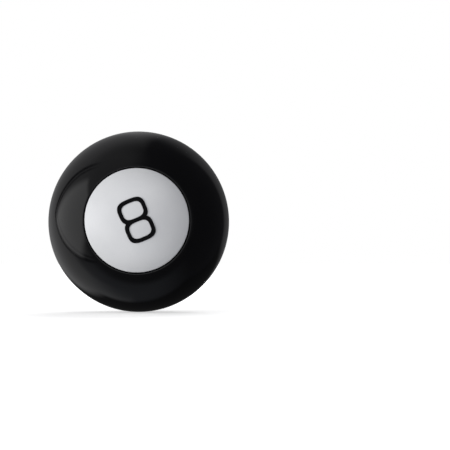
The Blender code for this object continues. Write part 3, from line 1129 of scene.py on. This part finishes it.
@dataclass
class Die:
    """The hollow twenty-sided die, in two halves, with a raised mark on each face.

    Args:
        crispness: power of the sum that blends the twenty faces. More gives sharper edges.
        wall: thickness behind a face.
        hole: radius of the filling hole at each end.
        seam: width of the seam between the halves.
        mark_height: how far a mark stands out.
        mark_line: half the width of a mark's line.
        mark_slope: width of the slope at the edge of a mark's line.
        ring_radius: radius of the ring mark.
        around: points round the axis.
        down: points from the hole to the seam on the outside.
        under: points on the inside.
    """

    crispness: float = 90.0
    wall: float = 0.75 * MM
    hole: float = 0.5 * MM
    seam: float = 0.05 * MM
    mark_height: float = 0.16 * MM
    mark_line: float = 0.24 * MM
    mark_slope: float = 0.09 * MM
    ring_radius: float = 1.15 * MM
    around: int = 480
    down: int = 150
    under: int = 24

    def __post_init__(self) -> None:
        """Reads the die's centre, size and turn from the frame's solids."""
        nodes = ("die_front_half", "die_rear_half")
        boxes = [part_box(node) for node in nodes]
        low = np.min([box[0] for box in boxes], axis=0)
        high = np.max([box[1] for box in boxes], axis=0)
        self.centre = np.array([0.0, (low[1] + high[1]) / 2, 0.0])
        found = []
        for node in nodes:
            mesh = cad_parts[node].data
            places = np.empty(len(mesh.vertices) * 3)
            mesh.vertices.foreach_get("co", places)
            found.append(places.reshape(-1, 3) - self.centre)
        places = np.concatenate(found)
        distance = np.linalg.norm(places, axis=1)
        self.radius = float(distance.max())
        tips = np.unique(np.round(places[distance > 0.995 * self.radius] / self.radius, 3), axis=0)
        self.faces = DieFaces.between(tips, self.radius)

    def mark_at(self, mark: Mark, u: Array, v: Array) -> Array:
        """Distance from each point to the line of a mark, less half the line's width.

        Args:
            mark: which mark.
            u: distance from the face's centre across it.
            v: distance from the face's centre towards a corner.

        Returns:
            Negative inside the line, positive outside it.
        """

        def stroke(*ends: float) -> Array:
            """Distance to a straight stroke between two points, in the same units as u and v."""
            ax, ay, bx, by = (end * MM for end in ends)
            dx, dy = bx - ax, by - ay
            t = np.clip(((u - ax) * dx + (v - ay) * dy) / (dx * dx + dy * dy), 0.0, 1.0)
            return np.hypot(u - ax - t * dx, v - ay - t * dy)

        if mark is Mark.RING:
            line = np.abs(np.hypot(u, v) - self.ring_radius)
        else:
            line = np.minimum(*[stroke(*ends) for ends in STROKES[mark]])
        return line - self.mark_line

    def reach_of(self, direction: Array) -> Tuple[Array, Array]:
        """How far the die's surface is from its centre in each direction, and how much of it is a mark.

        With c the cosine between a direction and a face's normal, the flat face is at its distance over c.
        The twenty faces blend as that distance over the p-th root of the sum of their cosines to the power
        p, which rounds the edges slightly. A mark adds its height over c, on a short slope at the edge of
        its line.

        Args:
            direction: unit vectors, one row each.

        Returns:
            One distance for each, and one share between 0 and 1.
        """
        faces = self.faces
        cosines = np.clip(direction @ faces.normals.T, 0.0, None)
        distance = faces.distance / np.power((cosines**self.crispness).sum(axis=1), 1 / self.crispness)
        face = np.argmax(cosines, axis=1)
        normal, tip = faces.normals[face], faces.towards_tip[face]
        cosine = np.take_along_axis(cosines, face[:, None], axis=1)[:, 0]
        place = direction * (faces.distance / cosine)[:, None]
        up = tip - normal * (tip * normal).sum(axis=1)[:, None]
        up /= np.linalg.norm(up, axis=1)[:, None]
        side = np.cross(up, normal)
        u, v = (place * side).sum(axis=1), (place * up).sum(axis=1)
        outside = np.choose(faces.marks[face], [self.mark_at(mark, u, v) for mark in Mark])
        share = np.clip(0.5 - outside / self.mark_slope, 0.0, 1.0)
        rise = share * share * (3 - 2 * share)
        return distance + self.mark_height * rise / cosine, rise

    def half(self, side: int) -> Surface:
        """One half: out from the filling hole to the seam, in along the seam, and back inside a sphere.

        Args:
            side: 1 for the half towards the number, -1 for the half towards the window.

        Returns:
            A closed surface about the die's centre.
        """
        hollow = self.faces.distance - self.wall
        start = self.hole / self.faces.distance
        stop = math.pi / 2 - self.seam / 2 / self.radius

        def directions(downs: Array) -> Array:
            """Unit vectors over the full turn, at these angles from the half's filling hole."""
            turns, downs = np.meshgrid(full_turn(self.around), downs, indexing="ij")
            flat = np.sin(downs)
            return np.stack([flat * np.cos(turns), -side * np.cos(downs), flat * np.sin(turns)], axis=-1)

        rows = directions(np.linspace(start, stop, self.down)).reshape(-1, 3)
        distance, rise = self.reach_of(rows)
        outside = (rows * distance[:, None]).reshape(self.around, self.down, 3)
        inside = hollow * directions(np.linspace(stop, math.asin(self.hole / hollow), self.under))
        inside[:, 0, 1] = outside[:, -1, 1]
        ring = np.concatenate([outside, inside], axis=1)
        raised = np.zeros(ring.shape[:2], dtype=np.float32)
        raised[:, : self.down] = rise.reshape(self.around, self.down)
        points = ring.reshape(-1, 3) + self.centre
        return Surface(points, [grid_faces(self.around, ring.shape[1], True, True)], raised.ravel())

    def dress(self) -> List[Piece]:
        """Both halves in white plastic."""
        white = DIE_WHITE.build()
        return [
            Piece("die_front", self.half(1), "die", "die_front_half", "die_white", white),
            Piece("die_rear", self.half(-1), "die", "die_rear_half", "die_white", white),
        ]


@dataclass
class Liquid:
    """The dyed liquid, which fills the tank, the collar and the neck up to the pane.

    Args:
        film: distance that the liquid keeps from the walls round it.
        gap: clearance that the frame keeps between the liquid and the tank.
        mouth_radius: radius of the collar's mouth.
        neck_radius: inner radius of the tank's neck.
        edge: size of a soft edge.
        segments: steps in a full turn.
    """

    film: float = 0.05 * MM
    gap: float = 0.3 * MM
    mouth_radius: float = 6.3 * MM
    neck_radius: float = 6.5 * MM
    edge: float = 0.15 * MM
    segments: int = 200

    def fill(self) -> Surface:
        """One body: wide in the tank, tapered through the collar, and narrow in the neck."""
        wide = reach("tank_liquid") + self.gap - self.film
        upper = bottom("tank_cap") - self.film
        mouth, foot = top("bubble_trap"), bottom("bubble_trap")
        mouth_radius, neck_radius = self.mouth_radius - self.film, self.neck_radius - self.film
        pane = top("window") + self.film
        outline = Outline.of(
            (0.0, upper),
            (wide, upper),
            (wide, mouth + self.film),
            (mouth_radius, mouth + self.film),
            (neck_radius, foot),
            (neck_radius, pane),
            (0.0, pane),
            closed=False,
        )
        return outline.softened(self.edge, 4).turned(self.segments)

    def dress(self) -> List[Piece]:
        """The fill. The frame's own ball of liquid inside the die is kept, and gets a finish here."""
        finish = BlueLiquid().build()
        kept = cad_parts["die_liquid"].data.materials
        kept.clear()
        kept.append(BlueLiquid(name="liquid_in_die").build())
        return [Piece("liquid_fill", self.fill(), "liquid", "tank_liquid", "liquid_blue", finish)]


# --- Stage ------------------------------------------------------------------------------------------------


def direction(azimuth: float, elevation: float) -> Array:
    """The unit vector this many degrees to the right of straight towards the viewer, and above level."""
    turn, rise = math.radians(azimuth), math.radians(elevation)
    return np.array([math.sin(turn) * math.cos(rise), -math.cos(turn) * math.cos(rise), math.sin(rise)])


class PanelShape(Enum):
    """The outline of a panel on the room's walls."""

    SQUARE = "square"
    ROUND = "round"


@dataclass(frozen=True)
class SoftPanel:
    """A soft-edged bright panel on the room's walls, far from the ball.

    Args:
        name: what it is for.
        azimuth: degrees to the right of straight towards the viewer, seen from the front.
        elevation: degrees above the ball.
        width: degrees that it spans across.
        height: degrees that it spans up and down.
        brightness: how bright it looks.
        soft_sides: degrees over which its left and right edges fade, or all of a round one's edge.
        soft_ends: degrees over which its top and bottom fade.
        roll: degrees that it is turned in its own plane, its top towards its left as the ball sees it.
        tint: its colour.
        shape: its outline. A round one's width is its diameter.
        border: width of the black cloth round it, in degrees, which hides the panels painted before it.
    """

    name: str
    azimuth: float
    elevation: float
    width: float
    height: float
    brightness: float
    soft_sides: float = 9.0
    soft_ends: float = 20.0
    roll: float = 0.0
    tint: Colour = WHITE
    shape: PanelShape = PanelShape.SQUARE
    border: float = 0.0

    def axes(self) -> Tuple[Array, Array, Array]:
        """Unit vectors towards the panel's middle, to its right and up it."""
        towards = direction(self.azimuth, self.elevation)
        right = direction(self.azimuth + 90.0, 0.0)
        up = np.cross(towards, right)
        cos, sin = math.cos(math.radians(self.roll)), math.sin(math.radians(self.roll))
        return towards, right * cos + up * sin, up * cos - right * sin

    def cover(self, room: "Room", margin: float) -> Socket:
        """How much of the view in each direction the panel covers, from 0 to 1.

        A square panel is flat, so the angle across it is the arctangent of the part of the direction to
        its right over the part towards it, and the angle up it is the same with the part up it. On a round
        one the angle from its middle is the arccosine of the part towards it. Each fades from 1 to 0 about
        half the width or height.

        Args:
            room: the node tree that the panel goes in.
            margin: degrees by which its edge is moved out.

        Returns:
            The socket with the share.
        """
        towards, right, up = self.axes()
        along = room.part_along(towards)
        if self.shape is PanelShape.ROUND:
            return room.fade(room.maths("ARCCOSINE", along), self.width / 2 + margin, self.soft_sides)
        shares = []
        for axis, size, soft in ((right, self.width, self.soft_sides), (up, self.height, self.soft_ends)):
            angle = room.maths("ARCTAN2", room.maths("ABSOLUTE", room.part_along(axis)), along)
            shares.append(room.fade(angle, size / 2 + margin, soft))
        return room.maths("MULTIPLY", *shares)


class Room(Wiring):
    """The room as a node tree that gives a colour for each direction.

    Args:
        ambient: the light that comes from everywhere.
    """

    def __init__(self, ambient: Colour) -> None:
        """Makes the world, white to the camera and lit by its panels for everything else."""
        self.world = bpy.data.worlds.new("room")
        self.world.use_nodes = True
        super().__init__(self.world.node_tree)
        self.direction = self.make("TexCoord", "Generated", {})
        self.light = self.constant(ambient)

    def constant(self, colour: Colour) -> Socket:
        """A colour that doesn't change."""
        return self.make("CombineXYZ", "Vector", dict(enumerate(colour)))

    def part_along(self, axis: Array) -> Socket:
        """The part of the direction that lies along an axis."""
        inputs = {0: self.direction, 1: tuple(axis)}
        return self.make("VectorMath", "Value", inputs, operation="DOT_PRODUCT")

    def fade(self, angle: Socket, edge: float, softness: float) -> Socket:
        """One inside the edge and zero outside it, with a smooth step between. Both are in degrees."""
        start, end = math.radians(edge - softness / 2), math.radians(edge + softness / 2)
        return self.ramp(angle, start, end, (1.0, 0.0), "SMOOTHSTEP")

    def dimmed(self, colour: Socket, share: Socket) -> Socket:
        """A colour times a share."""
        return self.make("VectorMath", "Vector", {0: colour, "Scale": share}, operation="SCALE")

    def add(self, panel: SoftPanel) -> None:
        """Puts up a panel: its border hides what was there, and its light is added."""
        if panel.border:
            shown = self.maths("SUBTRACT", 1.0, panel.cover(self, panel.border))
            self.light = self.dimmed(self.light, shown)
        glow = self.constant(tuple(panel.brightness * part for part in panel.tint))
        glow = self.dimmed(glow, panel.cover(self, 0.0))
        self.light = self.make("VectorMath", "Vector", {0: self.light, 1: glow}, operation="ADD")

    def finish(self) -> None:
        """Joins the light to the world's output, and puts the world in the scene."""
        lit, output = self.nodes["Background"], self.nodes["World Output"]
        self.feed(lit.inputs["Color"], self.light)
        white = self.make("Background", "Background", {"Color": WHITE})
        self.choose("Is Camera Ray", white, lit.outputs["Background"], output.inputs["Surface"])
        bpy.context.scene.world = self.world


@dataclass(frozen=True)
class Softbox:
    """A soft square lamp that faces the ball.

    Args:
        name: what it is for.
        azimuth: degrees to the right of straight towards the viewer, seen from the front.
        elevation: degrees above the ball.
        light: how bright it makes a white surface that faces it.
        side: length of its side, in metres.
        distance: metres from the ball.
    """

    name: str
    azimuth: float
    elevation: float
    light: float
    side: float = 0.34
    distance: float = 0.5

    def hang(self) -> bpy.types.Object:
        """Makes the lamp.

        A lamp of power P at distance d makes a white surface that faces it as bright as P / (pi d)^2.

        Returns:
            The lamp's object.
        """
        lamp = bpy.data.lights.new(self.name, "AREA")
        lamp.shape = "SQUARE"
        lamp.size = self.side
        lamp.energy = self.light * (math.pi * self.distance) ** 2
        obj = bpy.data.objects.new(self.name, lamp)
        bpy.context.scene.collection.objects.link(obj)
        obj.location = self.distance * direction(self.azimuth, self.elevation)
        obj.rotation_euler = obj.location.to_track_quat("Z", "Y").to_euler()
        obj.visible_camera = obj.visible_glossy = False
        return obj


@dataclass
class Studio:
    """The camera, the floor and the light.

    Args:
        lens: focal length in millimetres, on a sensor of the given width.
        sensor: width of the sensor in millimetres.
        ball_share: the ball's width as a share of the view's.
        ball_across: where the ball's centre is, as a share of the view's width from its left.
        ball_down: the same from its top.
        turn: how far the camera stands to the right of the disc's axis, in degrees.
        drop: how far it stands below it, in degrees.
        nearest: distance at which the camera starts to see, in metres.
        farthest: distance at which it stops.
        floor_rings: radii of the floor's rings of points, in metres.
        floor_steps: steps in a full turn of the floor.
        floor_gap: clearance between the floor and the ball.
        ambient: the room's light away from its panels.
    """

    lens: float = 150.0
    sensor: float = 36.0
    ball_share: float = 0.4009
    ball_across: float = 0.3087
    ball_down: float = 0.4929
    turn: float = 1.6
    drop: float = 1.1
    nearest: float = 0.01
    farthest: float = 100.0
    floor_rings: Tuple[float, ...] = (0.05, 0.15, 0.4, 1.0, 2.8)
    floor_steps: int = 96
    floor_gap: float = 0.02 * MM
    ambient: Colour = (0.030, 0.030, 0.033)

    def camera(self) -> bpy.types.Object:
        """Makes the camera and aims it beside the ball, so that the ball stands left of the middle.

        The ball's outline spans twice the tangent of the arcsine of radius over distance, so the distance
        is the radius over the sine of the arctangent of half its share of the view.

        Returns:
            The camera's object.
        """
        radius = reach("front_shell")
        half_width = self.sensor / 2 / self.lens
        distance = radius / math.sin(math.atan(self.ball_share * half_width))
        turn, drop = math.radians(self.turn), math.radians(self.drop)
        back = unit(np.array([math.sin(turn), -math.cos(turn) * math.cos(drop), -math.sin(drop)]))
        right = unit(np.cross(UP, back))
        up = np.cross(back, right)
        across = (0.5 - self.ball_across) * 2 * half_width * distance
        down = (0.5 - self.ball_down) * 2 * half_width * distance
        place = back * distance
        look = unit(place - (right * across - up * down))
        side = unit(np.cross(UP, look))
        matrix = np.eye(4)
        matrix[:3] = np.stack([side, np.cross(look, side), look, place], axis=1)
        data = bpy.data.cameras.new("camera")
        data.lens, data.sensor_width = self.lens, self.sensor
        data.clip_start, data.clip_end = self.nearest, self.farthest
        obj = bpy.data.objects.new("camera", data)
        bpy.context.scene.collection.objects.link(obj)
        obj.matrix_world = Matrix(matrix.tolist())
        bpy.context.scene.camera = obj
        return obj

    def floor(self) -> bpy.types.Object:
        """A wide round floor that the ball rests on."""
        turn = full_turn(self.floor_steps)
        radii, turns = np.meshgrid(self.floor_rings, turn, indexing="ij")
        level = -reach("front_shell") - self.floor_gap
        levels = np.full_like(radii, level)
        rings = np.stack([radii * np.cos(turns), radii * np.sin(turns), levels], axis=-1)
        points = np.concatenate([[[0.0, 0.0, level]], rings.reshape(-1, 3)])
        quads = grid_faces(len(self.floor_rings), len(turn), False, True) + 1
        index = np.arange(len(turn))
        fan = np.stack([np.zeros_like(index), index + 1, (index + 1) % len(turn) + 1], axis=1)
        mesh = bpy.data.meshes.new("floor")
        mesh.from_pydata(points.tolist(), [], fan.tolist() + quads[:, ::-1].tolist())
        obj = bpy.data.objects.new("floor", mesh)
        bpy.context.scene.collection.objects.link(obj)
        mesh.materials.append(PaleFloor().build())
        obj.visible_diffuse = obj.visible_glossy = obj.visible_transmission = obj.visible_shadow = False
        return obj

    def room(self) -> None:
        """A room that is white behind the ball, with soft panels all round it."""
        room = Room(self.ambient)
        cool, disc = (0.84, 0.90, 1.0), PanelShape.ROUND
        # each: name, azimuth, elevation, width, height, brightness, soft sides, soft ends, roll
        for panel in (
            SoftPanel("back_left", -141.0, 8.0, 80.0, 128.0, 0.19, 14.0, 50.0),
            SoftPanel("low_left", -128.0, -26.0, 60.0, 60.0, 0.12, 30.0, 30.0),
            SoftPanel("back_right", 163.0, 6.0, 44.0, 72.0, 0.085, 8.0, 30.0),
            SoftPanel("underneath", -40.0, -78.0, 84.0, 0.0, 0.12, 40.0, tint=cool, shape=disc),
            SoftPanel("floor_shade", 168.0, -34.0, 62.0, 44.0, 0.02, 10.0, 10.0, border=1.0),
            SoftPanel("window_bar", -75.8, 12.2, 87.0, 87.0, 0.26, 1.5, 1.5, 46.1, border=4.0),
            SoftPanel("left_window", -75.8, 12.2, 79.0, 79.0, 0.20, 2.5, 2.5, 46.1, border=2.5),
            SoftPanel("overhead", -78.0, 68.0, 44.0, 0.0, 0.17, 24.0, shape=disc, border=1.0),
            SoftPanel("front_shade", 0.0, -15.0, 140.0, 0.0, 0.03, 12.0, shape=disc, border=1.0),
            SoftPanel("left_lamp", -91.3, 3.6, 56.5, 54.0, 0.56, 5.0, 11.0, 44.4),
            SoftPanel("front_fill", 14.0, 0.0, 108.0, 0.0, 0.52, 14.0, tint=(0.95, 0.96, 1.0), shape=disc),
            SoftPanel("upper_fill", -2.0, 46.0, 84.0, 24.0, 0.62, 10.0, 10.0),
            SoftPanel("lower_fill", -2.0, -46.0, 84.0, 24.0, 0.55, 10.0, 10.0),
        ):
            room.add(panel)
        room.finish()

    def lamps(self) -> List[bpy.types.Object]:
        """The key light on the disc, and the light behind the window. Neither shows in the gloss."""
        lamps = (Softbox("disc_key", -58.0, 3.0, 0.80), Softbox("window_light", 165.0, 38.0, 0.60))
        return [lamp.hang() for lamp in lamps]


def main() -> None:
    """Builds the studio, then each sub-assembly, and hands every piece over to the frame."""
    logging.basicConfig(level=logging.INFO, format="%(name)s %(message)s")
    bpy.context.scene.view_settings.view_transform = "Standard"
    studio = Studio()
    studio.camera()
    studio.floor()
    studio.room()
    studio.lamps()
    for assembly in (Shell(), NumberDisc(), WindowEnd(), Tank(), Die(), Liquid()):
        for piece in assembly.dress():
            piece.hand_over()


if __name__ == "__main__":
    main()
